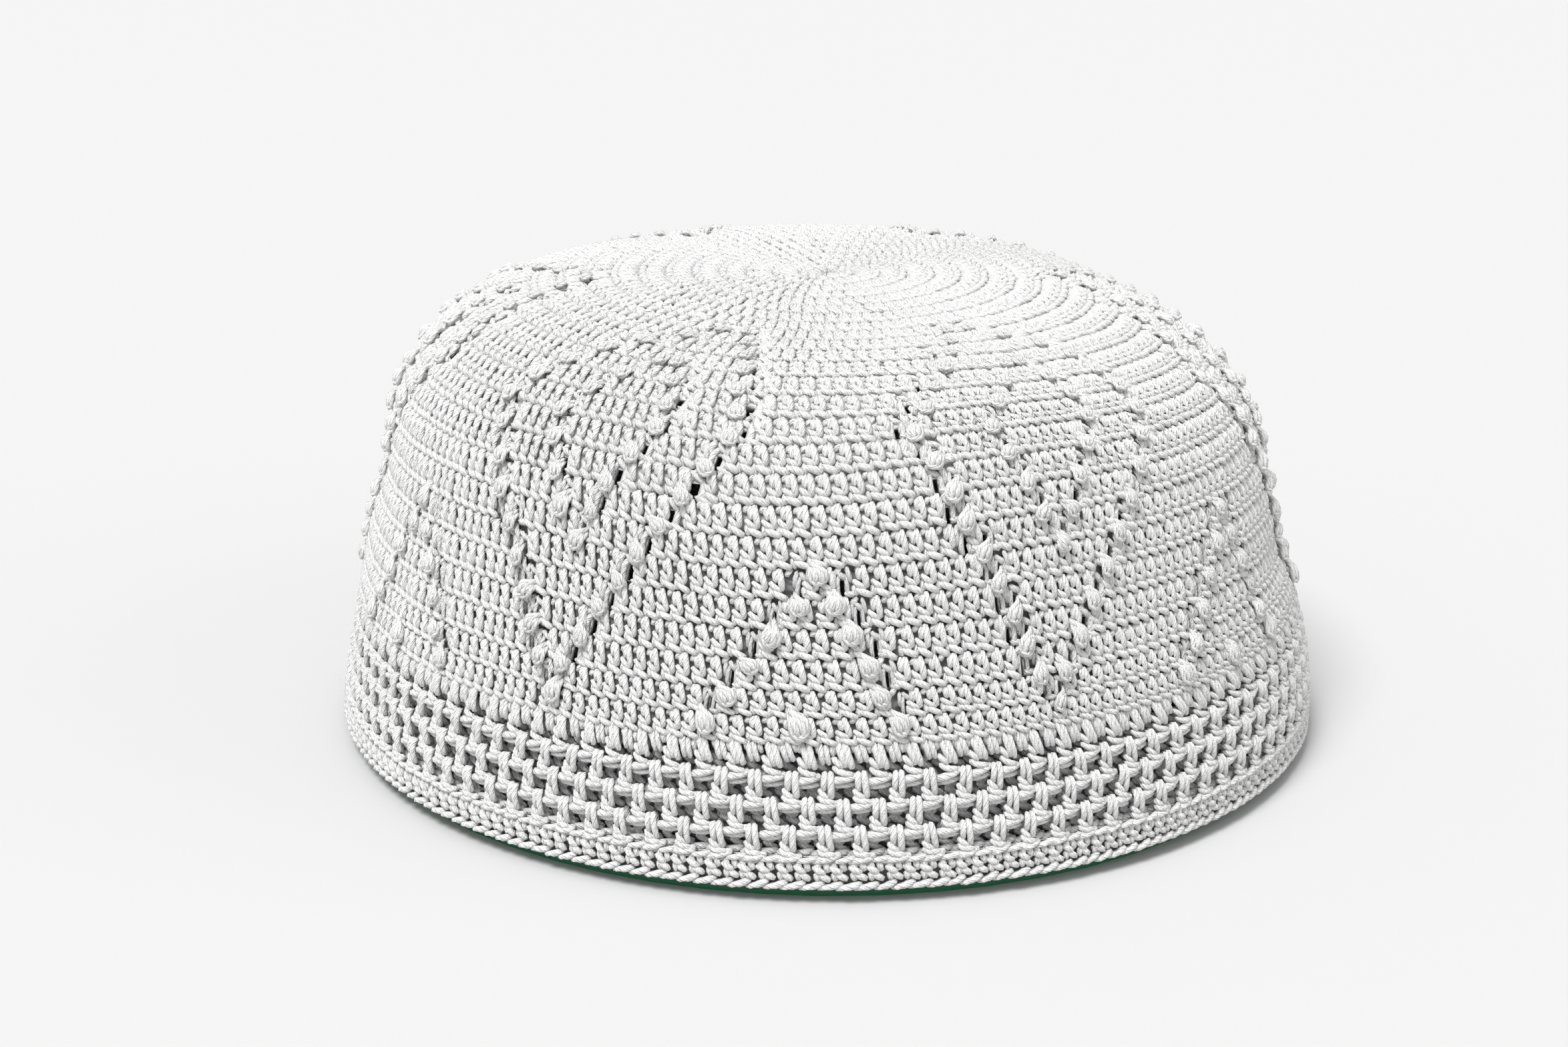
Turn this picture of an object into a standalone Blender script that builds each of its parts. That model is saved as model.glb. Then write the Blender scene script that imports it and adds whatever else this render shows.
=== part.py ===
"""A crocheted kufi: a soft round cap of white cotton over a green ring.

The cap is a turned form. One table gives its outer profile from the hem's lower edge to the crown's
centre, and each piece is a stretch of that profile, thickened inward and spun round the axis.
Lengths are in metres, +Z is up, and the origin is the centre of the face that the cap rests on.
"""
import math

import bmesh
import bpy
import numpy as np

# Driving dimensions
GAP = 0.0003
WALL = 0.0024
INNER_WALL = 0.0016
RING_WALL = 0.0016
RING_SHOWS = 0.0026
HEM_ARC = 0.0055
NET_ARC = 0.0235
WALL_ARC = 0.0645
EDGE_ROUND = 0.0009

# Counts round the cap
SPIN_STEPS = 60
NET_ROWS = 3
NET_GAPS = 36
NET_OPEN_WIDTH = 0.64
NET_OPEN_HEIGHT = 0.58

# Outer profile above the hem's lower edge: name, height, radius
PROFILE = (
    ("hem edge", 0.0000, 0.0903),
    ("net foot", 0.0057, 0.0898),
    ("net middle", 0.0140, 0.0883),
    ("wall foot", 0.0228, 0.0864),
    ("wall middle", 0.0397, 0.0824),
    ("wall top", 0.0530, 0.0792),
    ("shoulder foot", 0.0600, 0.0770),
    ("shoulder low", 0.0666, 0.0726),
    ("shoulder", 0.0705, 0.0683),
    ("shoulder high", 0.0758, 0.0581),
    ("crown rim", 0.0786, 0.0470),
    ("crown middle", 0.0799, 0.0300),
    ("crown dip", 0.0795, 0.0120),
    ("crown centre", 0.0793, 0.0000),
)

# Materials: name, colour, roughness
COTTON = ("white_cotton", (0.86, 0.86, 0.85, 1.0), 0.9)
GREEN = ("green_plastic", (0.03, 0.16, 0.07, 1.0), 0.5)


def clear_scene():
    """Removes whatever the file opened with."""
    for thing in list(bpy.data.objects):
        bpy.data.objects.remove(thing, do_unlink=True)


def make_material(name, colour, roughness):
    """Makes a plain Principled material."""
    material = bpy.data.materials.new(name)
    material.use_nodes = True
    shader = material.node_tree.nodes["Principled BSDF"]
    shader.inputs["Base Color"].default_value = colour
    shader.inputs["Roughness"].default_value = roughness
    shader.inputs["Metallic"].default_value = 0.0
    return material


def profile_curve(samples=800):
    """Draws a smooth cubic through the profile table: arc length, radius and height of each sample."""
    height = np.array([row[1] for row in PROFILE]) + RING_SHOWS
    radius = np.array([row[2] for row in PROFILE])
    knots = np.concatenate([[0.0], np.cumsum(np.hypot(np.diff(radius), np.diff(height)))])
    at = np.linspace(0.0, knots[-1], samples)
    span = np.clip(np.searchsorted(knots, at, side="right") - 1, 0, len(knots) - 2)
    width = knots[span + 1] - knots[span]
    t = (at - knots[span]) / width

    def cubic(values):
        slope = np.gradient(values, knots)
        start = (2 * t**3 - 3 * t**2 + 1) * values[span] + (t**3 - 2 * t**2 + t) * width * slope[span]
        end = (3 * t**2 - 2 * t**3) * values[span + 1] + (t**3 - t**2) * width * slope[span + 1]
        return start + end

    r, z = cubic(radius), cubic(height)
    arc = np.concatenate([[0.0], np.cumsum(np.hypot(np.diff(r), np.diff(z)))])
    return arc, np.maximum(r, 0.0), z


ARC, RADIUS, HEIGHT = profile_curve()
FULL_ARC = ARC[-1]


def point_at(arc, depth=0.0):
    """Radius and height at an arc length, moved inward from the outer face by the depth."""
    step = 0.0004
    before, after = max(arc - step, 0.0), min(arc + step, FULL_ARC)
    run = np.interp(after, ARC, RADIUS) - np.interp(before, ARC, RADIUS)
    rise = np.interp(after, ARC, HEIGHT) - np.interp(before, ARC, HEIGHT)
    length = math.hypot(run, rise)
    radius = np.interp(arc, ARC, RADIUS) - depth * rise / length
    height = np.interp(arc, ARC, HEIGHT) + depth * run / length
    return max(float(radius), 0.0), float(height)


def new_object(name, mesh_builder, material):
    """Turns a filled bmesh into a named object whose faces point out."""
    bmesh.ops.remove_doubles(mesh_builder, verts=mesh_builder.verts, dist=0.00001)
    bmesh.ops.recalc_face_normals(mesh_builder, faces=mesh_builder.faces)
    mesh = bpy.data.meshes.new(name)
    mesh_builder.to_mesh(mesh)
    mesh_builder.free()
    mesh.shade_smooth()
    mesh.set_sharp_from_angle(angle=math.radians(40.0))
    mesh.materials.append(material)
    thing = bpy.data.objects.new(name, mesh)
    bpy.context.scene.collection.objects.link(thing)
    return thing


def spin_outline(name, outline, material, closed=True):
    """Spins an outline of (radius, height) points round the axis into one closed solid."""
    builder = bmesh.new()
    points = [builder.verts.new((radius, 0.0, height)) for radius, height in outline]
    ends = points[1:] + points[:1] if closed else points[1:]
    edges = [builder.edges.new(pair) for pair in zip(points, ends)]
    bmesh.ops.spin(
        builder, geom=points + edges, cent=(0, 0, 0), axis=(0, 0, 1),
        angle=2 * math.pi, steps=SPIN_STEPS, use_merge=True,
    )
    return new_object(name, builder, material)


def shell_outline(start, end, rows, wall, depth=0.0):
    """Outline of a stretch of the cap's wall: down its outer face and back up its inner face."""
    stops = np.linspace(start, end, rows + 1)
    outer = [point_at(arc, depth) for arc in stops[::-1]]
    inner = [point_at(arc, depth + wall) for arc in stops]
    return outer + inner


def build_crown(material):
    """The dome: both faces run in to the axis, so its outline stays open there."""
    stops = WALL_ARC + GAP / 2 + (FULL_ARC - WALL_ARC - GAP / 2) * np.linspace(0.0, 1.0, 10) ** 1.15
    outer = [point_at(arc) for arc in stops[::-1]]
    inner = [point_at(arc, WALL) for arc in stops]
    outer[0] = (0.0, outer[0][1])
    inner[-1] = (0.0, inner[-1][1])
    return spin_outline("crown", outer + inner, material, closed=False)


def build_side_wall(material):
    """The leaning side between the net and the crown."""
    return spin_outline("side_wall", shell_outline(NET_ARC + GAP / 2, WALL_ARC - GAP / 2, 5, WALL), material)


def build_hem(material):
    """The edging under the net, with a rounded lower edge."""
    top = HEM_ARC - GAP / 2
    outer = [point_at(top), point_at(EDGE_ROUND)]
    inner = [point_at(EDGE_ROUND, WALL), point_at(top, WALL)]
    edge = [point_at(0.0, WALL * share) for share in (0.28, 0.72)]
    return spin_outline("hem", outer + edge + inner, material)


def build_inner_band(material):
    """The plain layer behind the net, clear of the net and of the ring under it."""
    outline = shell_outline(HEM_ARC + GAP / 2, NET_ARC - GAP / 2, 3, INNER_WALL, WALL + GAP)
    return spin_outline("inner_band", outline, material)


def build_stiffener(material):
    """The green ring inside the hem: a plain upright band that reaches below the hem."""
    hem_radius, hem_top = point_at(HEM_ARC - GAP / 2, WALL)
    outer = hem_radius - GAP
    inner = outer - RING_WALL
    return spin_outline(
        "stiffener", [(outer, hem_top), (outer, 0.0), (inner, 0.0), (inner, hem_top)], material
    )


def net_columns():
    """Angles where the net's columns begin, and for each column which rows it is open in.

    Even rows have their gaps at whole steps and odd rows half a step on, so a step has four columns:
    open in even rows, open in both, open in odd rows, open in both.
    """
    step = 2 * math.pi / NET_GAPS
    half = NET_OPEN_WIDTH / 2
    shares = (0.5 - half, half, 1.0 - half, 0.5 + half)
    kinds = ("both", "odd", "both", "even")
    starts = [(index + share) * step for index in range(NET_GAPS) for share in shares]
    return starts, [kind for index in range(NET_GAPS) for kind in kinds]


def build_openwork_band(material):
    """The net: a curved grid of cells without the open ones, thickened inward cell by cell."""
    starts, kinds = net_columns()
    low, high = HEM_ARC + GAP / 2, NET_ARC - GAP / 2
    pitch = (high - low) / NET_ROWS
    bar = pitch * (1.0 - NET_OPEN_HEIGHT) / 2
    levels = [low]
    for row in range(NET_ROWS):
        levels += [low + row * pitch + bar, low + (row + 1) * pitch - bar]
    levels.append(high)

    builder = bmesh.new()
    layers = []
    for depth in (0.0, WALL):
        rings = []
        for arc in levels:
            radius, height = point_at(arc, depth)
            rings.append([
                builder.verts.new((radius * math.cos(turn), radius * math.sin(turn), height))
                for turn in starts
            ])
        layers.append(rings)
    outer, inner = layers

    def is_open(level, column):
        if level % 2 == 0:
            return False
        row_kind = "even" if (level // 2) % 2 == 0 else "odd"
        return kinds[column] in (row_kind, "both")

    count = len(starts)
    last = len(levels) - 1
    for level in range(last):
        for column in range(count):
            if is_open(level, column):
                continue
            following, previous = (column + 1) % count, (column - 1) % count
            corners = ((level, column), (level, following), (level + 1, following), (level + 1, column))
            builder.faces.new([outer[row][turn] for row, turn in corners])
            builder.faces.new([inner[row][turn] for row, turn in reversed(corners)])
            sides = (
                (level == 0 or is_open(level - 1, column), corners[0], corners[1]),
                (is_open(level, following), corners[1], corners[2]),
                (level + 1 == last or is_open(level + 1, column), corners[2], corners[3]),
                (is_open(level, previous), corners[3], corners[0]),
            )
            for bare, first, second in sides:
                if bare:
                    builder.faces.new([
                        outer[second[0]][second[1]], outer[first[0]][first[1]],
                        inner[first[0]][first[1]], inner[second[0]][second[1]],
                    ])
    return new_object("openwork_band", builder, material)


def main():
    """Builds the cap's six pieces."""
    clear_scene()
    cotton = make_material(*COTTON)
    green = make_material(*GREEN)
    for build in (build_crown, build_side_wall, build_openwork_band, build_inner_band, build_hem):
        build(cotton)
    build_stiffener(green)


main()
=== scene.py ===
"""Looks of a crocheted kufi: every stitch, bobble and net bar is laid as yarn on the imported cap."""

import math

import bpy
import numpy as np
from bpy.props import FloatProperty, FloatVectorProperty, IntProperty, PointerProperty
from mathutils import Matrix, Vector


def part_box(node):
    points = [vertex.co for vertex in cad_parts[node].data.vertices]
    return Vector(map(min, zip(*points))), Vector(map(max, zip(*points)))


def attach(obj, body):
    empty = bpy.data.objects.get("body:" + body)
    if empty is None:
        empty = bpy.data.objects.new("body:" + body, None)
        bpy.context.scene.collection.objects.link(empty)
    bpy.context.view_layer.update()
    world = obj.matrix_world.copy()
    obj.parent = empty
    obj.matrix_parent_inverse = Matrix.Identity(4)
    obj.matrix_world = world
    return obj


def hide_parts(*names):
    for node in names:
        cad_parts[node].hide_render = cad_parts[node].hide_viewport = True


bl_info = {
    "name": "Crocheted kufi",
    "version": (1, 0, 0),
    "blender": (4, 5, 0),
    "location": "3D View > Sidebar > Kufi",
    "description": "Builds a round crocheted cap stitch by stitch, its green ring and a pale studio",
    "category": "Add Mesh",
}

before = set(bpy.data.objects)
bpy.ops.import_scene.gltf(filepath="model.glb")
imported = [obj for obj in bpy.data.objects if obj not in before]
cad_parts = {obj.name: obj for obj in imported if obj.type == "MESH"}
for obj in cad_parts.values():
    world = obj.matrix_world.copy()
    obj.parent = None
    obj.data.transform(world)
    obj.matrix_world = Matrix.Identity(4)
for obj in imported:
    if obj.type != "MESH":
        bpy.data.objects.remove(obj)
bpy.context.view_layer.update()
BODY = "root"
SEED = 11

# Outer profile of the cap above the hem's lower edge: name, height, radius
PROFILE = (
    ("hem edge", 0.0000, 0.0903),
    ("net foot", 0.0057, 0.0898),
    ("net middle", 0.0140, 0.0883),
    ("wall foot", 0.0228, 0.0864),
    ("wall middle", 0.0397, 0.0824),
    ("wall top", 0.0530, 0.0792),
    ("shoulder foot", 0.0600, 0.0770),
    ("shoulder low", 0.0666, 0.0726),
    ("shoulder", 0.0705, 0.0683),
    ("shoulder high", 0.0758, 0.0581),
    ("crown rim", 0.0786, 0.0470),
    ("crown middle", 0.0799, 0.0300),
    ("crown dip", 0.0795, 0.0120),
    ("crown centre", 0.0793, 0.0000),
)
HEM_ARC = 0.0055
NET_ARC = 0.0235
HEM_BASE = float(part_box("hem")[0][2])
WALL = 0.0024
INNER_WALL = 0.0016
CLEARANCE = 0.0003

# Soft irregularities: name, turn and arc in the middle, how far they reach in turn and arc, then how far they
# push out, up and along the profile, in metres, and how far they twist, in degrees
SOFT_SHAPE = (
    ("left shoulder", -86.0, 0.082, 42.0, 0.022, 0.0009, 0.0006, 0.0, 0.0),
    ("right shoulder", 86.0, 0.080, 42.0, 0.024, -0.0026, -0.0008, 0.0, 0.0),
    ("right band", 88.0, 0.012, 36.0, 0.014, 0.0011, 0.0, 0.0, 0.0),
    ("left band", -88.0, 0.012, 36.0, 0.014, -0.0006, 0.0, 0.0, 0.0),
    ("left dent", -83.0, 0.048, 16.0, 0.006, -0.0008, 0.0, 0.0, 0.0),
    ("right dent", 84.0, 0.035, 16.0, 0.005, -0.0009, 0.0, 0.0, 0.0),
    ("front sag", -9.0, 0.062, 17.0, 0.024, 0.0, 0.0, -0.0015, 0.0),
    ("right rise", 24.0, 0.066, 15.0, 0.022, 0.0, 0.0, 0.0008, 0.0),
    ("crown dip", 0.0, 0.108, 70.0, 0.018, 0.0, -0.0015, 0.0, 0.0),
    ("left leaf tip", -24.0, 0.108, 22.0, 0.016, 0.0, 0.0, 0.0, 5.0),
    ("right leaf tip", 36.0, 0.108, 22.0, 0.016, 0.0, 0.0, 0.0, -5.0),
    ("left back leaf", -114.0, 0.080, 18.0, 0.028, 0.0, 0.0, 0.0, -8.0),
    ("right back leaf", 99.0, 0.103, 26.0, 0.028, 0.0, 0.0, 0.0, 11.0),
)

# How the stitches spread out in the middle of the front and draw together at the sides: arc, spread, draw
FRONT_DRIFT = np.array((
    (0.000, 0.080, 0.060), (0.014, 0.080, 0.062), (0.026, 0.133, 0.100), (0.045, 0.133, 0.082),
    (0.065, 0.133, 0.056), (0.085, 0.133, 0.042), (0.125, 0.100, 0.037),
))
FRONT_WIDTH = math.radians(24.9)

# Rounds of double crochet above the net: name, number, height, or none for an even share of what is left
ROUND_GROUPS = (
    ("lower wall", 2, 0.0043),
    ("upper wall", 8, 0.0050),
    ("crown", 15, None),
)
ROUNDS = sum(row[1] for row in ROUND_GROUPS)
WALL_ROUNDS = 8
CROWN_RIM_ROUNDS = 5
REPEATS = 6
WALL_STITCHES = 198
GROWTH = 12
ROUND_DRIFT = 0.22
LEAF_TURN = -32.7

# One repeat of the pattern, charted: line, side its bobbles lean to, its eyelets in stitches beside
# the bobble, half an eyelet's width, how far its top leans over and how far a bobble hangs below its row
# line, all three in millimetres, first round, then the turn of its bobble in each round, in degrees from
# the middle of a leaf's foot
CHART = (
    ("leaf left", -1, (-1.05, 0.3), 0.60, -0.10, -0.1, 2, (
        0.3, -2.4, -4.1, -5.5, -7.5, -9.3, -11.4, -12.7, -14.6, -16.5, -14.2, -11.6, -8.0, -3.7, 1.0, 4.9)),
    ("leaf right", 1, (0.72,), 0.95, 0.25, 0.0, 3, (
        1.2, 3.75, 6.1, 8.7, 11.1, 13.7, 16.4, 19.0, 21.2, 21.4, 20.4, 19.6, 17.8, 14.6, 11.0)),
    ("inner left", -1, (0.3,), 0.62, -0.10, 0.0, 7, (2.0, -0.8, -2.6, -4.4, -5.6, -3.0, 0.5, 4.5)),
    ("inner right", 1, (0.70,), 0.90, 0.25, -0.1, 8, (3.9, 5.7, 8.5, 11.0, 10.9, 9.6, 7.4)),
    ("tent left", 1, (0.15,), 0.30, 0.10, 1.4, 2, (20.5, 22.8, 25.2, 27.3, 30.2)),
    ("tent right", 1, (0.4,), 0.31, -0.10, 1.4, 2, (40.7, 38.7, 37.5, 35.7, 33.9)),
    ("tent top", 1, (), 0.0, 0.0, 1.4, 7, (32.1,)),
    ("tent foot", 1, (), 0.0, 0.0, 1.4, 2, (30.4,)),
)

# Net: arcs of its chain bars and of its top, width of a cell, thickness of its yarn against the wall's, where
# its first cell starts and how far cells shift across, both in cells
NET_BARS = (0.0052, 0.0094, 0.0138, 0.0181, 0.0234)
NET_STEP = 0.00545
NET_YARN = 0.94
NET_PHASE = 0.1
NET_SHIFT = 0.02

# From the wall to the crown: round, depth of the layer behind at a row line and elsewhere in millimetres,
# thickness of the yarn and width of an eyelet, both against those of the wall
GRADING = np.array(((6.0, 1.50, 0.90, 1.00, 1.00), (13.0, 0.85, 0.45, 1.10, 1.30)))

# Arcs in millimetres between which that layer's painted shade turns from dark on the wall to pale on the
# crown
SHADE_ARCS = (50.0, 85.0)

# The layer behind: its columns, heights in a round where its depth is given, depth of its inner side at a
# row line and elsewhere in millimetres, and how far from the crown's centre it stops
CORE_COLUMNS = 2 * WALL_STITCHES
CORE_LEVELS = np.array((0.0, 0.04, 0.56))
CORE_INSIDE = (1.95, 2.30, 2.30)
CROWN_EYE = 0.0004

# Width and height that a stitch is drawn for, and how far it sinks below the cap's outer profile
STITCH = (0.0025, 0.0049)
SINK = 0.00005

# Eyelets: how strongly near stitches lean in and how far that reaches, how much their width changes and how
# fast with the round and the repeat, how their strands lean, and where those strands run
EYELET_PULL = 0.12
EYELET_REACH = 2.2
EYELET_CHANGE = 0.2
EYELET_WAVES = (2.3, 4.1)
EYELET_LEAN = 4.0
RIM_OUTSIDE = 0.00033
RIM_REACH = 0.00099

# Small differences between stitches: shifts across and along, in cells, for each kind; lean in radians, lift
# in metres and growth for all; the most that a lean moves a point, in cells, the least width of a cell, and
# how far along its yarn a stitch may start, in millimetres
STITCH_SHIFTS = (0.035, 0.012)
RIM_SHIFTS = (0.02, 0.02)
INNER_SHIFTS = (0.04, 0.02)
HEM_SHIFTS = (0.03, 0.02)
STITCH_CHANGES = (0.05, 0.00005, 0.035)
MAX_SHIFT = 0.3
MIN_WIDTH = 0.0004
YARN_SLIP = 40.0

# Thickness of a strand at its ends, and sides of the tubes that show least
STITCH_TAPER = 0.92
BOBBLE_TAPER = 0.8
FEW_SIDES = 4

# Layer behind the net: its rounds, how far each moves on in stitches, the height of their ridges inside and
# how far its stitches stand off
INNER_ROUNDS = 4
INNER_DRIFT = 0.3
INNER_RIDGE = 0.0003
INNER_FACE = 0.0008

# Stage: the height that the camera's orbit is centred on, and half the floor's side
AIM_HEIGHT = 0.0485
FLOOR_HALF = 4.0

MM = 0.001
UV_NAME = "yarn"


class KufiYarn(bpy.types.PropertyGroup):
    """Sizes and colours of the cap."""

    radius: FloatProperty(
        name="Yarn radius", description="Half the width of the cotton yarn",
        default=0.00050, unit="LENGTH", precision=5,
    )
    sides: IntProperty(name="Yarn sides", description="Sides of each yarn tube", default=5, min=3, max=8)
    colour: FloatVectorProperty(
        name="Cotton", description="Colour of the cotton yarn", subtype="COLOR",
        default=(0.93, 0.928, 0.922), min=0.0, max=1.0,
    )
    # Painted shade: the dark outer face of the layer under the wall's stitches stands in for the shade
    # between strands
    shade: FloatVectorProperty(
        name="Cotton in shade", description="Colour of the layer under the stitches", subtype="COLOR",
        default=(0.22, 0.22, 0.22), min=0.0, max=1.0,
    )
    # Painted shade, paler on the crown, where more light reaches between the strands
    pale_shade: FloatVectorProperty(
        name="Cotton in light shade", description="Colour of the layer under the crown's stitches",
        subtype="COLOR", default=(0.86, 0.86, 0.86), min=0.0, max=1.0,
    )
    # Painted shade: the stitches behind the net and the hem's joint are a little darker than the yarn
    behind: FloatVectorProperty(
        name="Cotton behind", description="Colour of the layer behind the net", subtype="COLOR",
        default=(0.92, 0.92, 0.915), min=0.0, max=1.0,
    )
    ring_colour: FloatVectorProperty(
        name="Ring", description="Colour of the ring inside the hem", subtype="COLOR",
        default=(0.02, 0.17, 0.075), min=0.0, max=1.0,
    )


class KufiStage(bpy.types.PropertyGroup):
    """Floor, lights and camera."""

    floor_colour: FloatVectorProperty(
        name="Floor", description="Colour of the floor", subtype="COLOR",
        default=(0.56, 0.56, 0.56), min=0.0, max=1.0,
    )
    sky: FloatProperty(name="Sky", description="Strength of the even light", default=0.60, min=0.0)
    key_strength: FloatProperty(name="Key", description="Strength of the main light", default=3.05, min=0.0)
    top_strength: FloatProperty(name="Top", description="Strength of the top light", default=0.40, min=0.0)
    fill_strength: FloatProperty(name="Fill", description="Strength of the side light", default=0.34, min=0.0)
    fill_turn: FloatProperty(
        name="Fill turn", description="How far to the right of the camera the side light stands",
        default=math.radians(78.0), subtype="ANGLE",
    )
    fill_rise: FloatProperty(
        name="Fill rise", description="Height of the side light, as an angle",
        default=math.radians(30.0), subtype="ANGLE",
    )
    key_turn: FloatProperty(
        name="Key turn", description="How far to the left of the camera the main light stands",
        default=math.radians(-35.0), subtype="ANGLE",
    )
    key_rise: FloatProperty(
        name="Key rise", description="Height of the main light, as an angle",
        default=math.radians(61.0), subtype="ANGLE",
    )
    key_spread: FloatProperty(
        name="Key spread", description="Width of the main light, as an angle",
        default=math.radians(24.0), subtype="ANGLE",
    )
    lens: FloatProperty(
        name="Lens", description="Focal length on a full-frame sensor", default=58.08, unit="CAMERA",
    )
    distance: FloatProperty(
        name="Distance", description="From the camera to the middle of the cap",
        default=0.47, unit="LENGTH",
    )
    elevation: FloatProperty(
        name="Elevation", description="Height of the camera seen from the cap, as an angle",
        default=math.radians(16.24), subtype="ANGLE",
    )
    tilt: FloatProperty(
        name="Tilt", description="How far the camera looks down",
        default=math.radians(17.93), subtype="ANGLE",
    )
    pan: FloatProperty(
        name="Pan", description="How far the camera looks to the left",
        default=math.radians(0.965), subtype="ANGLE",
    )
    roll: FloatProperty(
        name="Roll", description="Turn of the camera about its view", default=math.radians(0.26),
        subtype="ANGLE",
    )


def profile_curve(samples=1600):
    """Smooth cubic through the profile table: t cubed blends of the rows with their own slopes."""
    height = np.array([row[1] for row in PROFILE]) + HEM_BASE
    radius = np.array([row[2] for row in PROFILE])
    knots = np.concatenate([[0.0], np.cumsum(np.hypot(np.diff(radius), np.diff(height)))])
    at = np.linspace(0.0, knots[-1], samples)
    span = np.clip(np.searchsorted(knots, at, side="right") - 1, 0, len(knots) - 2)
    width = knots[span + 1] - knots[span]
    t = (at - knots[span]) / width

    def cubic(values):
        slope = np.gradient(values, knots)
        start = (2 * t**3 - 3 * t**2 + 1) * values[span] + (t**3 - 2 * t**2 + t) * width * slope[span]
        end = (3 * t**2 - 2 * t**3) * values[span + 1] + (t**3 - t**2) * width * slope[span + 1]
        return start + end

    r, z = np.maximum(cubic(radius), 0.0), cubic(height)
    arc = np.concatenate([[0.0], np.cumsum(np.hypot(np.diff(r), np.diff(z)))])
    return arc, r, z


ARC, RADIUS, HEIGHT = profile_curve()
FULL_ARC = float(ARC[-1])
RISE = np.gradient(HEIGHT, ARC)
RUN = np.gradient(RADIUS, ARC)


def wrapped(gap):
    """Difference of two turns, between minus and plus half a turn."""
    return (gap + math.pi) % (2 * math.pi) - math.pi


def soft_shape(turn, arc):
    """Sum over the table of size times exp(-(turn gap / spread) squared - (arc gap / spread) squared)."""
    total = np.zeros((4,) + np.broadcast(turn, arc).shape)
    for _, at_turn, at_arc, turn_spread, arc_spread, *sizes in SOFT_SHAPE:
        gap = wrapped(turn - math.radians(at_turn))
        weight = np.exp(-((gap / math.radians(turn_spread)) ** 2) - ((arc - at_arc) / arc_spread) ** 2)
        total += np.array(sizes).reshape((4,) + (1,) * weight.ndim) * weight
    return total


def on_cap(turn, arc, lift):
    """Point at a turn from the front and an arc length, moved out along the normal by the lift.

    x = R sin(turn), y = -R cos(turn), with R = r(arc) + lift * dz/darc and z = z(arc) - lift * dr/darc.
    The turn first gains spread * turn * exp(-(turn / width) squared) and loses draw * sin(turn).
    """
    front = wrapped(turn)
    spread = np.interp(arc, FRONT_DRIFT[:, 0], FRONT_DRIFT[:, 1])
    draw = np.interp(arc, FRONT_DRIFT[:, 0], FRONT_DRIFT[:, 2])
    turn = turn + spread * front * np.exp(-((front / FRONT_WIDTH) ** 2)) - draw * np.sin(front)
    out, up, slide, twist = soft_shape(turn, arc)
    turn = turn + np.radians(twist)
    arc = np.clip(arc + slide, 0.0, FULL_ARC)
    rise, run = np.interp(arc, ARC, RISE), np.interp(arc, ARC, RUN)
    reach = lift + out
    radius = np.maximum(np.interp(arc, ARC, RADIUS) + reach * rise, 0.0)
    height = np.interp(arc, ARC, HEIGHT) - reach * run + up
    return np.stack([radius * np.sin(turn), -radius * np.cos(turn), height], axis=-1)


def smooth_path(points, count):
    """Catmull-Rom curve through the points, read at even steps."""
    points = np.asarray(points, float)
    padded = np.vstack([2 * points[0] - points[1], points, 2 * points[-1] - points[-2]])
    at = np.linspace(0.0, len(points) - 1, count)
    start = np.minimum(at.astype(int), len(points) - 2)
    t = (at - start)[:, None]
    a, b, c, d = (padded[start + step] for step in range(4))
    return 0.5 * (2 * b + (c - a) * t + (2 * a - 5 * b + 4 * c - d) * t**2 + (3 * b - a - 3 * c + d) * t**3)


def even_turns(count, phase=0.0):
    """Turns of a number of places spaced evenly round a circle, moved on by a phase of one place."""
    return 2 * math.pi * (np.arange(count) + phase) / count


def closed_faces(rings, columns):
    """Quads between rings of points, and triangles to a point below the first and one above the last."""
    index = np.arange(rings * columns).reshape(rings, columns)
    beside = np.roll(index, -1, axis=1)
    quads = np.stack([index[:-1], index[1:], beside[1:], beside[:-1]], -1).reshape(-1, 4)
    low, high = np.full(columns, index.size), np.full(columns, index.size + 1)
    low = np.stack([low, index[0], beside[0]], -1)
    high = np.stack([high, beside[-1], index[-1]], -1)
    return quads, np.vstack([low, high])


def pairs(u, v):
    """UVs of two arrays, each stretched to the other's shape."""
    return np.stack(np.broadcast_arrays(u, v), -1)


def tube(path, radius, sides):
    """Closed tube: each ring is centre + radius (cos a across + sin a up), and each end is one point.

    Gives points, quads, triangles and their UVs, with u the length along the path in millimetres and
    v the share of the way round.
    """
    along = np.gradient(path, axis=0)
    along /= np.linalg.norm(along, axis=1, keepdims=True)
    across = np.cross(along, (0.0, 0.0, 1.0))
    across /= np.maximum(np.linalg.norm(across, axis=1, keepdims=True), 1e-9)
    up = np.cross(across, along)
    turn = even_turns(sides)[None, :, None]
    body = slice(1, -1)
    ring = path[body, None] + radius[:, None, None] * (
        np.cos(turn) * across[body, None] + np.sin(turn) * up[body, None])
    points = np.vstack([ring.reshape(-1, 3), path[:1], path[-1:]])
    quads, triangles = closed_faces(len(radius), sides)
    length = np.concatenate([[0.0], np.cumsum(np.linalg.norm(np.diff(path, axis=0), axis=1))]) / MM
    here, there = length[1:-2], length[2:-1]
    low, high = np.arange(sides) / sides, (np.arange(sides) + 1) / sides
    middle = (low + high) / 2
    quad_uv = pairs(np.stack([here, there, there, here], -1)[:, None], np.stack([low, low, high, high], -1))
    tip_uv = pairs(length[[0, 1, 1]], np.stack([middle, low, high], -1))
    tail_uv = pairs(length[[-1, -2, -2]], np.stack([middle, high, low], -1))
    return points, quads, triangles, quad_uv.reshape(-1, 4, 2), np.concatenate([tip_uv, tail_uv])


def join(parts):
    """Joins shapes of points, quads, triangles and UVs into one."""
    offsets = np.cumsum([0] + [len(part[0]) for part in parts[:-1]])
    points, *faces, quad_uv, triangle_uv = zip(*parts)
    faces = [[values + offset for values, offset in zip(kind, offsets)] for kind in faces]
    return tuple(np.concatenate(arrays) for arrays in (points, *faces, quad_uv, triangle_uv))


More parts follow.
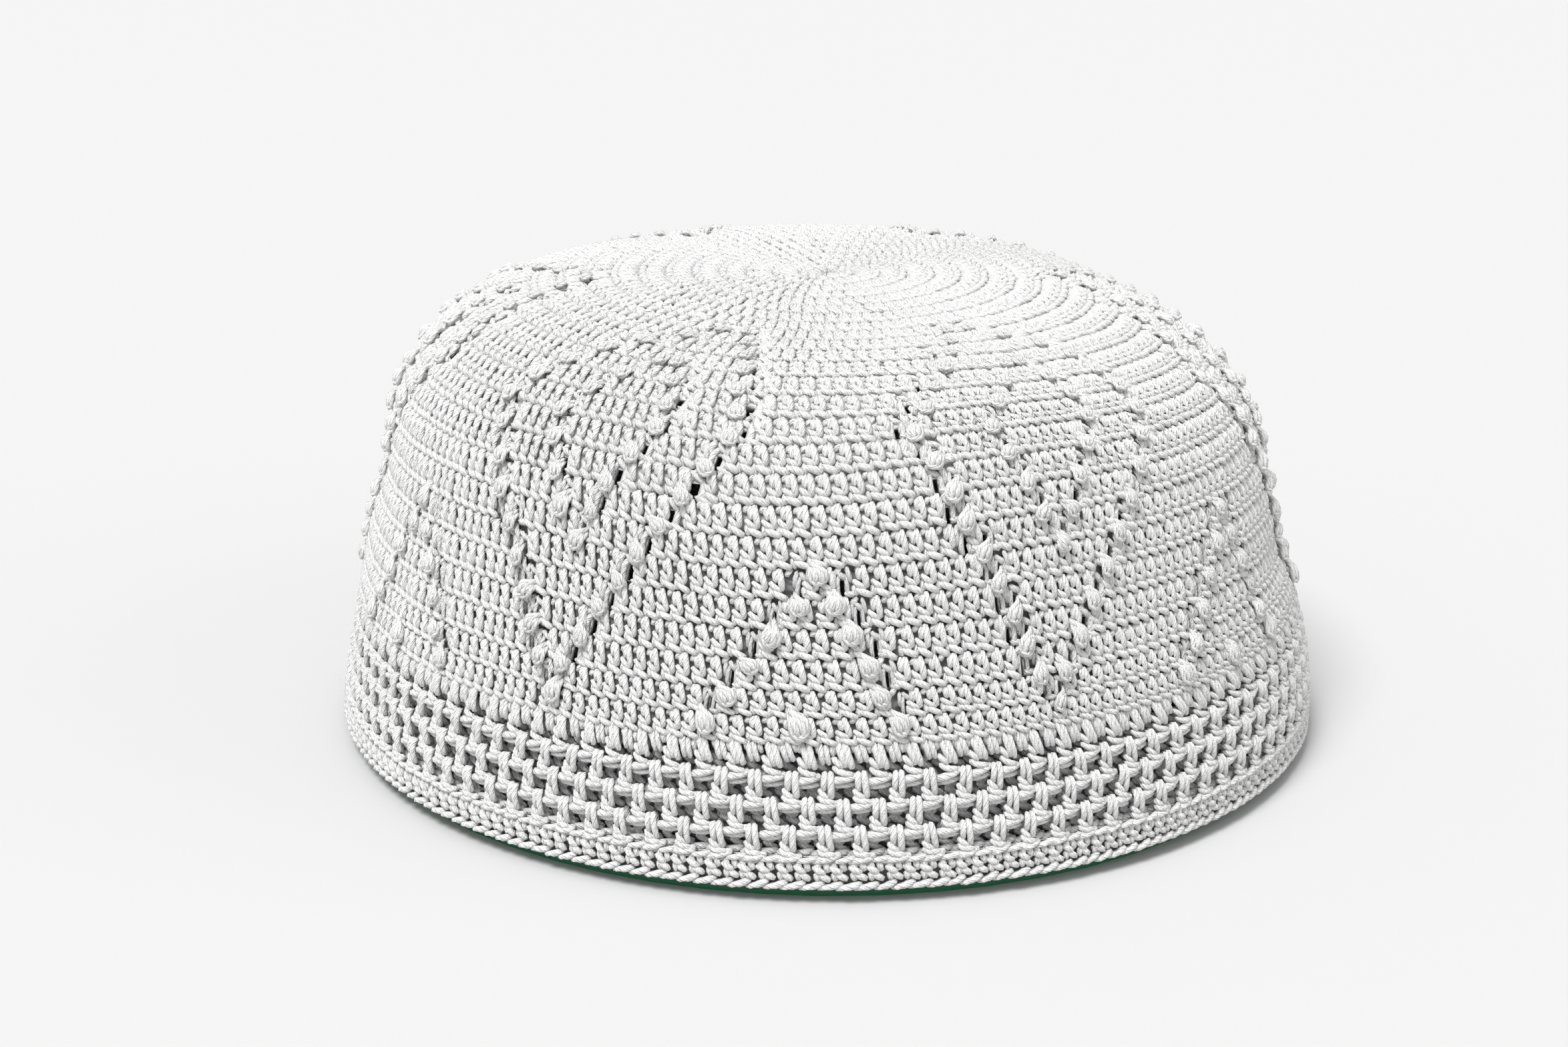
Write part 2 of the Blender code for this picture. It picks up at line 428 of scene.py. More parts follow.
def tubes(table, scale, sides, yarn, taper):
    """A tube along each strand of a table, thinner at its two ends by the taper."""
    shapes = []
    for rings, thickness, points in table:
        width = np.full(rings, yarn * thickness)
        width[[0, -1]] *= taper
        shapes.append(tube(smooth_path(points, rings + 2) * scale, width, sides))
    return shapes


def strands(table, cell, sides, yarn):
    """Template of a stitch: its tubes, with x and y in cells and z in metres."""
    points, *rest = join(tubes(table, np.array(cell + (MM,)), sides, yarn, STITCH_TAPER))
    points[:, :2] /= cell
    return points, *rest


# Strands of a stitch: rings, thickness against the yarn, then points of x in stitches, y in rounds and z in
# millimetres
DOUBLE_CROCHET = (
    (3, 1.06, ((-0.21, 1.03, -1.2), (-0.24, 0.91, -0.4), (-0.18, 0.69, -0.1), (-0.1, 0.46, -0.9))),
    (4, 1.1, ((-0.05, 1.05, -1.2), (0.02, 0.93, -0.26), (0.15, 0.66, 0.04), (0.24, 0.43, -0.02),
        (0.2, 0.18, -0.9))),
    (3, 1.02, ((-0.56, 0.57, -1.1), (-0.4, 0.49, -0.26), (0.06, 0.32, 0.0), (0.27, 0.23, -0.9))),
    (4, 1.16, ((-0.32, 0.3, -1.0), (-0.19, 0.23, -0.2), (0.12, 0.15, 0.0), (0.44, 0.07, -0.12),
        (0.62, 0.02, -0.9))),
    (3, 0.96, ((-0.45, 0.42, -1.2), (-0.43, 0.31, -0.56), (-0.37, 0.14, -0.5), (-0.28, -0.03, -1.1))),
    (3, 1.0, ((0.68, 1.06, -1.2), (0.6, 0.96, -0.5), (0.46, 0.84, -0.5), (0.38, 0.76, -1.1))),
)
# Strands that bow round an eyelet in the lower half of a round, x in stitches from its middle
EYELET_RIM = (
    (4, 0.92, ((-0.1, 0.84, -1.3), (-0.29, 0.68, -0.66), (-0.41, 0.38, -0.48), (-0.34, 0.1, -0.66),
        (-0.14, -0.04, -1.3))),
    (4, 0.92, ((0.1, 0.84, -1.3), (0.3, 0.68, -0.62), (0.4, 0.36, -0.48), (0.33, 0.1, -0.66),
        (0.14, -0.04, -1.3))),
    (3, 1.0, ((-0.44, 0.9, -1.2), (-0.24, 0.81, -0.45), (0.14, 0.68, -0.4), (0.42, 0.58, -1.1))),
    (3, 1.0, ((0.1, 0.15, -1.3), (0.3, 0.13, -0.4), (0.8, 0.1, -0.36), (1.06, 0.06, -1.1))),
    (3, 1.06, ((0.34, 1.04, -1.2), (0.44, 0.91, -0.38), (0.66, 0.62, -0.34), (0.7, 0.4, -1.1))),
    (3, 1.04, ((-0.56, 0.96, -1.2), (-0.64, 0.8, -0.5), (-0.66, 0.5, -0.46), (-0.56, 0.26, -1.2))),
)
# Strands of the layer behind the net: three of a stitch, then a loop
INNER_STITCH = DOUBLE_CROCHET[1:4] + (
    (4, 0.95, ((-0.12, 0.55, -1.0), (-0.12, 0.8, -0.4), (0.05, 0.93, -0.4), (0.16, 0.75, -0.35),
        (0.22, 0.5, -1.0))),
)
SINGLE_CROCHET = (
    (3, 1.1, ((-0.3, 1.02, -1.1), (-0.28, 0.9, -0.5), (-0.2, 0.74, -0.45), (-0.12, 0.62, -1.1))),
    (3, 1.12, ((0.08, 1.04, -1.1), (0.18, 0.9, -0.4), (0.3, 0.68, -0.4), (0.34, 0.52, -1.1))),
    (3, 1.22, ((-0.52, 0.82, -1.1), (-0.36, 0.72, -0.3), (0.0, 0.56, -0.1), (0.26, 0.44, -1.0))),
    (3, 1.22, ((-0.22, 0.46, -1.1), (-0.05, 0.42, -0.25), (0.3, 0.27, -0.15), (0.52, 0.15, -1.0))),
    (3, 1.05, ((-0.3, 0.5, -1.1), (-0.28, 0.4, -0.5), (-0.22, 0.22, -0.5), (-0.18, 0.1, -1.1))),
)
# Chain bar under a net post: x in net steps, y in bar distances
NET_BAR = (
    (4, 1.42, ((-0.44, -0.12, -1.3), (-0.31, -0.09, -0.5), (0.0, -0.02, -0.26), (0.31, 0.08, -0.5),
        (0.43, 0.11, -1.3))),
    (4, 1.0, ((-0.44, -0.2, -1.5), (-0.28, -0.23, -0.95), (0.0, -0.23, -0.85), (0.28, -0.17, -0.95),
        (0.44, -0.12, -1.5))),
)
NET_CELL = (
    (4, 1.1, ((-0.05, 1.27, -1.2), (-0.09, 1.17, -0.1), (-0.095, 0.92, 0.18), (-0.09, 0.64, -0.22),
        (-0.05, 0.5, -1.2))),
    (5, 1.14, ((0.05, 1.29, -1.2), (0.08, 1.19, -0.05), (0.09, 0.94, 0.24), (0.115, 0.62, 0.0),
        (0.145, 0.36, -0.4), (0.14, 0.22, -1.2))),
    (4, 1.08, ((-0.21, 0.6, -1.3), (-0.18, 0.52, -0.45), (-0.09, 0.39, -0.12), (0.03, 0.28, -0.3),
        (0.09, 0.2, -1.1))),
    (4, 1.12, ((-0.22, 0.34, -1.2), (-0.18, 0.26, -0.4), (-0.05, 0.18, -0.06), (0.17, 0.13, -0.1),
        (0.28, 0.11, -1.0))),
) + NET_BAR
# Topmost net round: a leaning pair of posts, then the legs of the stitch between under the first row line
TOP_POST = (
    (5, 1.16, ((-0.17, 1.1, -1.3), (-0.16, 1.0, -0.35), (-0.06, 0.7, 0.05), (0.05, 0.46, -0.1),
        (0.08, 0.32, -1.1))),
    (5, 1.18, ((0.0, 1.12, -1.3), (0.02, 1.01, -0.3), (0.1, 0.7, 0.1), (0.2, 0.42, -0.06),
        (0.22, 0.27, -1.1))),
    (4, 1.08, ((-0.29, 0.64, -1.2), (-0.23, 0.55, -0.35), (-0.09, 0.41, -0.1), (0.03, 0.29, -1.0))),
    (4, 1.12, ((-0.25, 0.38, -1.2), (-0.21, 0.29, -0.4), (-0.05, 0.19, -0.06), (0.18, 0.14, -0.1),
        (0.3, 0.12, -1.0))),
) + NET_BAR
TOP_LEGS = (
    (4, 1.12, ((0.3, 1.1, -1.3), (0.31, 1.0, -0.4), (0.36, 0.76, -0.22), (0.42, 0.54, -0.45),
        (0.44, 0.42, -1.3))),
    (4, 1.12, ((0.46, 1.11, -1.3), (0.48, 1.01, -0.36), (0.53, 0.76, -0.16), (0.6, 0.55, -0.4),
        (0.62, 0.42, -1.3))),
    (3, 1.05, ((0.62, 1.1, -1.3), (0.64, 1.01, -0.5), (0.69, 0.82, -0.45), (0.72, 0.7, -1.3))),
    (3, 1.0, ((0.2, 1.12, -1.3), (0.22, 1.03, -0.55), (0.26, 0.86, -0.5), (0.28, 0.74, -1.3))),
    (3, 1.0, ((-0.34, 1.12, -1.3), (-0.32, 1.03, -0.55), (-0.29, 0.84, -0.5), (-0.26, 0.7, -1.3))),
)
CHAIN_LINE = (
    (4, 1.0, ((-0.7, -0.16, -1.0), (-0.45, -0.1, -0.22), (0.0, 0.02, 0.0), (0.42, 0.14, -0.3),
        (0.68, 0.16, -1.1))),
)
EDGE_CHAIN = (
    (5, 1.22, ((-0.72, -0.36, -1.0), (-0.46, -0.18, -0.36), (0.0, 0.06, -0.12), (0.46, 0.3, -0.3),
        (0.76, 0.46, -0.9))),
    (4, 1.0, ((-0.52, -0.6, -1.7), (-0.2, -0.58, -1.15), (0.2, -0.5, -1.1), (0.5, -0.4, -1.6))),
)

# Net from the bottom up: strands, chain bar under it, how far along a step it starts, sides of its tubes,
# lift, shift along the profile in cells
NET_ROUNDS = (
    (NET_CELL, 0, 0.0, 6, -0.00005, 0.02),
    (NET_CELL, 1, 0.5, 6, -0.00005, 0.02),
    (NET_CELL, 2, 0.0, 6, -0.00005, 0.02),
    (TOP_POST, 3, 0.5, 6, -0.00005, 0.02),
    (TOP_LEGS, 3, 0.5, 5, -0.0001, 0.01),
)

# Hem from the top down, then the joint behind it: strands, arc, height of a round, how far along a stitch it
# starts, lift, how thick its yarn is against the wall's; then its inner layer's arcs and its face's depth
HEM_ROUNDS = (
    (CHAIN_LINE, 0.0050, 0.0020, 0.3, 0.0, 1.0),
    (SINGLE_CROCHET, 0.0010, 0.0037, 0.0, 0.0, 1.0),
    (EDGE_CHAIN, 0.0005, 0.0017, 0.5, 0.0, 1.0),
)
HEM_JOINT = ((CHAIN_LINE, HEM_ARC + 0.0002, 0.0020, 0.0, -0.0018, 1.3),)
HEM_CORE_ARCS = (0.0004, 0.0028, HEM_ARC - CLEARANCE)
HEM_FACE = 0.0012
HEM_STITCH = 0.0027
HEM_SIDES = 5

# Strands of a bobble, from its stem at the upper left to its foot: rings, thickness, points in millimetres
BOBBLE_STRANDS = (
    (6, 1.06, ((-1.4, 2.9, -1.3), (-0.95, 2.1, -0.25), (-0.25, 1.45, 0.42), (0.66, 1.0, 0.58),
        (1.08, 0.2, 0.42), (0.9, -0.75, 0.22), (0.3, -1.3, -0.05))),
    (5, 1.03, ((-0.9, 1.7, 0.0), (-0.35, 1.15, 0.75), (0.22, 0.6, 1.0), (0.52, -0.2, 0.92),
        (0.45, -0.85, 0.65), (0.1, -1.25, 0.2))),
    (4, 1.03, ((-1.25, 1.8, -0.3), (-0.85, 1.1, 0.5), (-0.45, 0.3, 0.95), (-0.28, -0.5, 0.9),
        (-0.35, -1.1, 0.4))),
    (5, 1.03, ((-1.6, 2.3, -1.3), (-1.25, 1.4, -0.2), (-1.08, 0.6, 0.35), (-1.02, -0.2, 0.38),
        (-0.78, -0.85, 0.32), (-0.3, -1.25, 0.1))),
    (4, 0.96, ((-1.06, -0.3, 0.0), (-0.78, -0.8, 0.55), (0.0, -1.08, 0.78), (0.73, -0.82, 0.55),
        (1.05, -0.4, 0.0))),
)

# A bobble's body: half its width, height and depth in millimetres, points round it and up it, how far up
# and down those reach as an angle, and how far it stands off the stitches
BOBBLE_BODY = (1.12, 1.25, 0.88)
BOBBLE_COLUMNS = 6
BOBBLE_LEVELS = 3
BOBBLE_REACH = math.radians(48.0)
BOBBLE_LIFT = 0.00035

# Rounds, and a bobble's size there; differences in size, length, lean in radians and height in metres; the
# bobbles of the lowest round with any hang lower, in millimetres, and are longer
BOBBLE_ROUNDS = (10, 14, 17)
BOBBLE_SIZES = (1.0, 0.82, 0.68)
BOBBLE_CHANGES = (0.06, 0.06, 0.22, 0.00012)
FOOT_ROUND = 2
FOOT_DROP = 0.8
FOOT_STRETCH = 1.2


def copies(template, placed, slip=0.0, mirrored=None):
    """One shape from a template's copies: their faces and UVs, turned over where a copy is mirrored.

    Slip is added to the UVs of each copy, so that its yarn starts at another length.
    """
    count = len(placed)
    offsets = (np.arange(count) * len(template[0]))[:, None, None]
    shape = [placed.reshape(-1, 3)]
    for values, more in zip(template[1:], (offsets, offsets, slip, slip)):
        values = np.broadcast_to(values, (count,) + values.shape)
        if mirrored is not None:
            values = np.where(mirrored.reshape((-1,) + (1,) * (values.ndim - 1)), values[:, :, ::-1], values)
        shape.append((values + more).reshape((-1,) + values.shape[2:]))
    return tuple(shape)


def lay(template, turn, arc, turn_step, arc_step, lift, changes, random, leaning=0.0):
    """Lays a template at each turn: turn + x * step of turn, arc + y * step of arc, lift + z.

    Each copy is shifted across and along by the changes, in cells, and leaned, lifted and grown a little.
    """
    count = len(turn)
    across, along, lean, rise, grow = (
        random.normal(0.0, size, (count, 1)) for size in changes + STITCH_CHANGES)
    lean = lean + np.reshape(leaning, (-1, 1))
    turn_step = np.broadcast_to(turn_step, count)[:, None]
    x, y, z = template[0].T
    width = turn_step * np.interp(arc, ARC, RADIUS)
    shift = -lean * (y - 0.5) * arc_step / np.maximum(width, MIN_WIDTH)
    grow = 1.0 + grow
    across = x * grow + np.clip(shift, -MAX_SHIFT, MAX_SHIFT) + across
    along = y + lean * x * width / arc_step + along
    placed = on_cap(turn[:, None] + across * turn_step, arc + along * arc_step, lift + z * grow + rise)
    slip = np.zeros((count, 1, 1, 2))
    slip[:, 0, 0, 0] = random.uniform(0.0, YARN_SLIP, count)
    return copies(template, placed, slip)


def plain_round(table, cell, sides, yarn, count, phase, arc, lift, shifts, random):
    """One round of a table's strands, at a count of even turns, with cells of a width and a height."""
    template = strands(table, cell, sides, yarn)
    return lay(template, even_turns(count, phase), arc, 2 * math.pi / count, cell[1], lift, shifts, random)


def make_piece(name, shape, materials, node):
    """Puts a shape's arrays into a mesh object that rides on the cap and replaces its node."""
    points, quads, triangles, quad_uv, triangle_uv, *finish = shape
    corners = np.concatenate([quads.ravel(), triangles.ravel()])
    starts = np.concatenate([4 * np.arange(len(quads)), quads.size + 3 * np.arange(len(triangles))])
    uvs = np.concatenate([quad_uv.reshape(-1, 2), triangle_uv.reshape(-1, 2)])
    mesh = bpy.data.meshes.new(name)
    for part, field, values, kind in (
        (mesh.vertices, "co", points, np.float32), (mesh.loops, "vertex_index", corners, np.int32),
        (mesh.polygons, "loop_start", starts, np.int32),
    ):
        part.add(len(values))
        part.foreach_set(field, values.ravel().astype(kind))
    mesh.uv_layers.new(name=UV_NAME).data.foreach_set("uv", uvs.ravel().astype(np.float32))
    mesh.update(calc_edges=True)
    mesh.shade_smooth()
    for material in materials:
        mesh.materials.append(material)
    # Marked faces take the second material, the painted shade
    if finish:
        mesh.polygons.foreach_set("material_index", finish[0].astype(np.int32))
    piece = bpy.data.objects.new(name, mesh)
    bpy.context.scene.collection.objects.link(piece)
    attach(piece, BODY)
    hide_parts(node)


def shell(columns, arcs, outer, inner, openings=()):
    """Closed wall over a grid of even turns and given arcs, between two lifts.

    The wall turns all the way round and its two edges are closed. Each opening is a row of the grid, a
    turn, a half width and a lean: the cell there is left out and drawn in to that turn. Its outer faces
    take the second material, which is painted shade.
    """
    turns = even_turns(columns)
    turn, arc = np.meshgrid(turns, arcs)
    solid = np.ones((len(arcs) - 1, columns), bool)
    for row, middle, half, lean in openings:
        cell = int(middle % (2 * math.pi) / (2 * math.pi) * columns) % columns
        solid[row, cell] = False
        near = middle - round((middle - turns[cell]) / (2 * math.pi)) * 2 * math.pi
        slant = np.array([-lean, lean])
        turn[row:row + 2, cell] = near - half + slant
        turn[row:row + 2, (cell + 1) % columns] = near + half + slant
    points = [on_cap(turn, arc, np.reshape(lift, (-1, 1)) + 0 * turn) for lift in (outer, inner)]
    index = np.arange(turn.size).reshape(turn.shape)
    beside = np.roll(index, -1, axis=1)
    low_left, low_right, high_left, high_right = index[:-1], beside[:-1], index[1:], beside[1:]
    front = np.stack([low_left, low_right, high_right, high_left], -1)[solid]
    back = np.stack([low_left, high_left, high_right, low_right], -1)[solid]
    faces = [front, back + index.size]
    nothing = np.zeros((1, columns), bool)
    below, above = np.vstack([nothing, solid[:-1]]), np.vstack([solid[1:], nothing])
    left, right = np.roll(solid, 1, axis=1), np.roll(solid, -1, axis=1)
    for beyond, start, end in (
        (below, low_left, low_right), (right, low_right, high_right),
        (above, high_right, high_left), (left, high_left, low_left),
    ):
        start, end = start[solid & ~beyond], end[solid & ~beyond]
        faces.append(np.stack([end, start, start + index.size, end + index.size], -1))
    quads = np.vstack(faces)
    uv = np.stack([turn * WALL_STITCHES / (2 * np.pi), arc / MM], -1).reshape(-1, 2)
    quad_uv = uv[quads % index.size]
    width = quad_uv[..., 0].max(axis=1, keepdims=True) - quad_uv[..., 0]
    quad_uv[..., 0] += np.where(width > WALL_STITCHES / 2, WALL_STITCHES, 0.0)
    # Outer faces, which take the second material, the painted shade
    finish = np.arange(len(quads)) < len(front)
    points = np.reshape(points, (-1, 3))
    return points, quads, np.zeros((0, 3), int), quad_uv, np.zeros((0, 3, 2)), finish


def round_lines():
    """Arc of each row line, from the top of the net to the crown's centre."""
    heights = []
    for _, count, height in ROUND_GROUPS:
        heights += [height or (FULL_ARC - NET_ARC - sum(heights)) / count] * count
    return NET_ARC + np.concatenate([[0.0], np.cumsum(heights)])


LINES = round_lines()


def yarn_settings():
    """The cap's settings."""
    return bpy.context.scene.kufi_yarn


def grading(row, column):
    """A column of the grading table at a round."""
    return float(np.interp(row, GRADING[:, 0], GRADING[:, column]))


def stitches_in(row):
    """Stitches in a round counted up from the net: the crown grows by a fixed number a round."""
    return min(GROWTH * (ROUNDS + 1 - row), WALL_STITCHES)


def motif_marks(row):
    """Bobbles of a round, as turn, side and drop, and its eyelets, as turn, half width and lean.

    An eyelet's width changes by a share of sin(rate * round + other rate * repeat).
    """
    step = 2 * math.pi / stitches_in(row)
    bobbles, eyelets = [], []
    for _, side, beside, half, lean, drop, first, turns in CHART:
        if not first <= row < first + len(turns):
            continue
        for repeat in range(REPEATS):
            turn = math.radians(LEAF_TURN + turns[row - first] + repeat * 360.0 / REPEATS)
            bobbles.append((turn, side, max(drop, FOOT_DROP) if row == FOOT_ROUND else drop))
            wave = math.sin(EYELET_WAVES[0] * row + EYELET_WAVES[1] * repeat)
            width = half * grading(row, 4) * (1.0 + EYELET_CHANGE * wave)
            eyelets += [(turn + offset * step, width * MM, lean * MM) for offset in beside]
    return bobbles, np.array(eyelets).reshape(-1, 3)


def row_of_stitches(row, template, rim, random):
    """One round of double crochet, parted at its eyelets: near stitches lean in towards each.

    A stitch moves by pull * gap * exp(-gap squared / reach), with its gap to an eyelet in stitches.
    """
    count = stitches_in(row)
    turns = even_turns(count, ROUND_DRIFT * row)
    step = 2 * math.pi / count
    eyelets, half, lean = motif_marks(row)[1].T
    if len(eyelets):
        gap = wrapped(eyelets[None] - turns[:, None]) / step
        pull = (EYELET_PULL * gap * np.exp(-(gap**2) / EYELET_REACH)).sum(axis=1)
        turns = (turns + pull * step)[np.abs(gap).min(axis=1) > 0.5]
    low, height = LINES[row - 1], LINES[row] - LINES[row - 1]
    shapes = [lay(template, turns, low, step, height, -SINK, STITCH_SHIFTS, random)]
    if len(eyelets):
        spread = step * (half + RIM_OUTSIDE) / RIM_REACH
        leaning = -EYELET_LEAN * lean / height
        shapes.append(lay(rim, eyelets, low, spread, height, 0.0, RIM_SHIFTS, random, leaning))
    return join(shapes)


def crochet_rounds(first, last, sides, random):
    """Rounds of double crochet from first to last, as one shape."""
    shapes = []
    for row in range(first, last + 1):
        yarn = yarn_settings().radius * grading(row, 3)
        template = strands(DOUBLE_CROCHET, STITCH, sides, yarn)
        rim = strands(EYELET_RIM, STITCH, FEW_SIDES, yarn)
        shapes.append(row_of_stitches(row, template, rim, random))
    return join(shapes)


def core(first, last):
    """Layer behind the stitches, open at the eyelets, painted shade outside, a ridge for each round inside.
    """
    arcs, outer, inner, openings = [], [], [], []
    for row in range(first, last + 1):
        arcs += list(LINES[row - 1] + CORE_LEVELS * (LINES[row] - LINES[row - 1]))
        outer += [grading(row - 1, 1), grading(row, 2), grading(row, 2)]
        inner += CORE_INSIDE
        radius = np.interp(LINES[row - 1], ARC, RADIUS)
        openings += [(3 * (row - first) + 1, turn, half / radius, lean / radius)
                     for turn, half, lean in motif_marks(row)[1]]
    arcs.append(min(LINES[last], FULL_ARC - CROWN_EYE))
    outer.append(grading(last, 1))
    inner.append(CORE_INSIDE[0])
    return shell(CORE_COLUMNS, arcs, -MM * np.array(outer), -MM * np.array(inner), openings)


def bobble_template(sides, yarn):
    """A drop of yarn: an egg of half sizes times (cos b cos a, sin b, cos b sin a), wound with strands."""
    size = np.array(BOBBLE_BODY) * MM
    rise = np.linspace(-BOBBLE_REACH, BOBBLE_REACH, BOBBLE_LEVELS)[:, None]
    around = even_turns(BOBBLE_COLUMNS)[None]
    ring = size * np.stack([
        np.cos(rise) * np.cos(around), np.sin(rise) + 0 * around, np.cos(rise) * np.sin(around)], -1)
    points = np.vstack([ring.reshape(-1, 3), [(0, -size[1], 0)], [(0, size[1], 0)]])
    quads, triangles = closed_faces(BOBBLE_LEVELS, BOBBLE_COLUMNS)
    flat = points[:, :2] / MM
    body = (points, quads, triangles, flat[quads], flat[triangles])
    return join([body] + tubes(BOBBLE_STRANDS, MM, sides, yarn, BOBBLE_TAPER))


def bobbles_in(rows, template, random):
    """Bobbles of several rounds, each hung from the lower line of its round and leaning to its side.

    A bobble's (x, y) turns by its lean a to (x cos a - y sin a, x sin a + y cos a) and is then grown.
    """
    marks = [(turn, LINES[row - 1] - drop * MM, side, row) for row in rows
             for turn, side, drop in motif_marks(row)[0]]
    turns, arcs, side, row = (column[:, None] for column in np.array(marks).T)
    grow, stretch, lean, rise = (random.normal(0.0, size, side.shape) for size in BOBBLE_CHANGES)
    grow = (1.0 + grow) * np.interp(row, BOBBLE_ROUNDS, BOBBLE_SIZES)
    stretch = (1.0 + stretch) * np.where(row == FOOT_ROUND, FOOT_STRETCH, 1.0)
    flat_x, y, z = template[0].T
    flat_x = side * flat_x
    across = (flat_x * np.cos(lean) - y * np.sin(lean)) * grow
    along = (flat_x * np.sin(lean) + y * np.cos(lean)) * grow * stretch + rise
    placed = on_cap(turns + across / np.interp(arcs, ARC, RADIUS), arcs + along, (z + BOBBLE_LIFT) * grow)
    return copies(template, placed, mirrored=side < 0)


class Surface:
    """A new material, with a short way to add each kind of node that this cap needs."""

    def __init__(self, name):
        self.material = bpy.data.materials.new(name)
        self.material.use_nodes = True
        self.tree = self.material.node_tree
        self.shader = self.tree.nodes["Principled BSDF"]

    def add(self, kind, output, inputs, **settings):
        """A node of a kind, its inputs linked to sockets or set to values; gives one of its outputs."""
        node = self.tree.nodes.new("ShaderNode" + kind)
        for name, value in settings.items():
            setattr(node, name, value)
        for name, value in inputs.items():
            self.feed(node.inputs[name], value)
        return node.outputs[output]

    def feed(self, socket, value):
        """Links an input to another socket, or sets it to a value."""
        if isinstance(value, bpy.types.NodeSocket):
            self.tree.links.new(value, socket)
        else:
            socket.default_value = value

    def math(self, operation, *values):
        """A Math node of sockets and numbers."""
        return self.add("Math", 0, dict(enumerate(values)), operation=operation)

    def sum(self, first, rate, second, other=1.0):
        """first * rate + second * other."""
        return self.math("ADD", self.math("MULTIPLY", first, rate), self.math("MULTIPLY", second, other))

    def uv(self):
        """The two numbers of the cap's UV map."""
        map_output = self.add("UVMap", 0, {}, uv_map=UV_NAME)
        first = self.add("SeparateXYZ", 0, {0: map_output})
        return first, first.node.outputs[1]

    def noise(self, scale, detail=2.0):
        """Noise on Object coordinates."""
        place = self.add("TexCoord", "Object", {})
        return self.add("TexNoise", "Fac", {"Vector": place, "Scale": scale, "Detail": detail})

    def mix(self, factor, first, second, blend="MIX"):
        """Two colours, mixed or multiplied by a factor."""
        inputs = {"Factor": factor, "A": first, "B": second}
        return self.add("Mix", "Result", inputs, data_type="RGBA", blend_type=blend)

    def tone(self, factor, low, high, start=0.0, end=1.0):
        """A colour from low to high while the factor goes from start to end."""
        colour = self.add("ValToRGB", "Color", {"Fac": factor})
        elements = colour.node.color_ramp.elements
        for element, position, value in zip(elements, (start, end), (low, high)):
            element.position, element.color = position, opaque(value)
        return colour

    def finish(self, colour, height, strength, distance, values):
        """Gives the shader its colour, its bump and its other values."""
        bump = {"Strength": strength, "Distance": distance, "Height": height}
        normal = self.add("Bump", "Normal", bump)
        for name, value in {"Base Color": colour, "Normal": normal, **values}.items():
            self.feed(self.shader.inputs[name], value)
        return self.material


def opaque(colour, share=1.0):
    """A colour times a share, up to full, with its alpha."""
    return tuple(min(1.0, share * value) for value in colour[:3]) + (1.0,)


def cotton_material(name, colour):
    """Matte cotton: fine plies twist round each strand, with faint patches of tone, a soft sheen and painted
    shade in the grooves between plies.

    Plies are 0.62 sin(4.8 u + 6 pi v) + 0.38 sin(12 u + 16 pi v), with u along the yarn and v round it.
    """
    surface = Surface(name)
    along, around = surface.uv()
    coarse = surface.math("SINE", surface.sum(along, 4.8, around, 6 * math.pi))
    fine = surface.math("SINE", surface.sum(along, 12.0, around, 16 * math.pi))
    plies = surface.sum(coarse, 0.62, fine, 0.38)
    height = surface.sum(plies, 0.8, surface.noise(3800.0, 4.0), 2.0)
    patches = surface.tone(surface.noise(260.0, 3.0), opaque(colour, 0.93), colour, 0.3, 0.7)
    # Painted shade: darker by up to about a fifth where the plies sink
    groove = surface.math("MULTIPLY", surface.math("MULTIPLY_ADD", plies, -0.5, 0.5), 0.55)
    base = surface.mix(groove, patches, (0.60, 0.60, 0.605, 1.0), "MULTIPLY")
    values = {"Roughness": 0.88, "Specular IOR Level": 0.25, "Sheen Weight": 0.25}
    return surface.finish(base, height, 0.9, 0.00017, values)


def lining_material(name, low, high):
    """Cotton of the layer behind: rows and stitches in low relief, read from turn and arc.

    Stitches are sin(2 pi u + 0.5 v) and rows sin(2 pi v / 1.6 + stitches), with u in stitches round and v
    the arc in millimetres. The colour runs from the low one on the wall to the high one on the crown; under
    the stitches both are painted shade, dark on the wall and pale on the crown. Where the stitches sink, the
    colour is darkened by up to a fifth, a painted shade.
    """
    surface = Surface(name)
    stitch, arc = surface.uv()
    across = surface.math("SINE", surface.sum(stitch, 2 * math.pi, arc, 0.5))
    rows = surface.math("SINE", surface.sum(arc, 2 * math.pi / 1.6, across))
    height = surface.sum(surface.sum(across, 1.0, rows, 0.7), 1.0, surface.noise(2500.0))
    # Painted shade: from the low colour on the wall to the high one on the crown
    start, end = SHADE_ARCS
    rise = surface.add("MapRange", "Result", {"Value": arc, "From Min": start, "From Max": end})
    colour = surface.mix(rise, opaque(low), opaque(high))
    # Painted shade: darker by up to a fifth where the stitches' relief sinks
    groove = surface.math("MULTIPLY_ADD", across, -0.5, 0.5)
    base = surface.mix(groove, colour, (0.8, 0.8, 0.8, 1.0), "MULTIPLY")
    return surface.finish(base, height, 0.8, 0.00025, {"Roughness": 0.92, "Sheen Weight": 0.2})


def ring_material(name, colour):
    """Matte green: a faint fine grain and small changes of tone."""
    surface = Surface(name)
    grain = surface.noise(1800.0, 4.0)
    tone = surface.tone(grain, opaque(colour, 0.8), opaque(colour, 1.2))
    return surface.finish(tone, grain, 0.3, 0.00008, {"Roughness": 0.55})


def material_once(name, make, *values):
    """The named material, made the first time it is asked for."""
    return bpy.data.materials.get(name) or make(name, *values)


def cotton():
    """White cotton of the stitches."""
    return material_once("cotton_yarn", cotton_material, yarn_settings().colour)


def cotton_behind():
    """Cotton of the stitches that lie behind the net, painted a little darker than the yarn as their shade.
    """
    return material_once("cotton_behind", cotton_material, yarn_settings().behind)


def lining():
    """Cotton of the cap's inner side."""
    colour = yarn_settings().colour
    return material_once("cotton_lining", lining_material, colour, colour)


